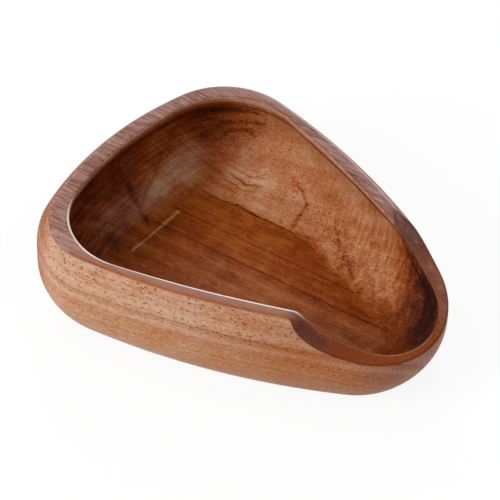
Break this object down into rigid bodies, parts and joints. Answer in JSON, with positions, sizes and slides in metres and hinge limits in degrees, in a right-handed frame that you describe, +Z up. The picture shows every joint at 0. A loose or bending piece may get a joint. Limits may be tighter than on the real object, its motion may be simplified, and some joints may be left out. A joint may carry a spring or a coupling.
{
  "type": "coffee dosing tray",
  "caption": "Shallow wooden tray, a rounded triangle seen from above, with bulging walls and a scooped low lip at its narrow end for pouring a dose of coffee beans.",
  "frame": {"origin": "on the table under the tray's middle, the centre of the bottom of its bounding box", "axes": "+X along the tray towards the pouring lip, +Z up"},
  "size_m": [0.15, 0.1206, 0.0375],
  "materials": {
    "near_board_wood": "oiled acacia, satin",
    "near_strip_wood": "oiled acacia, satin",
    "far_strip_wood": "oiled acacia, satin",
    "far_board_wood": "oiled acacia, satin"
  },
  "bodies": {
    "root": {"near_board": "near_board_wood", "near_strip": "near_strip_wood", "far_strip": "far_strip_wood", "far_board": "far_board_wood"}
  },
  "joints": []
}
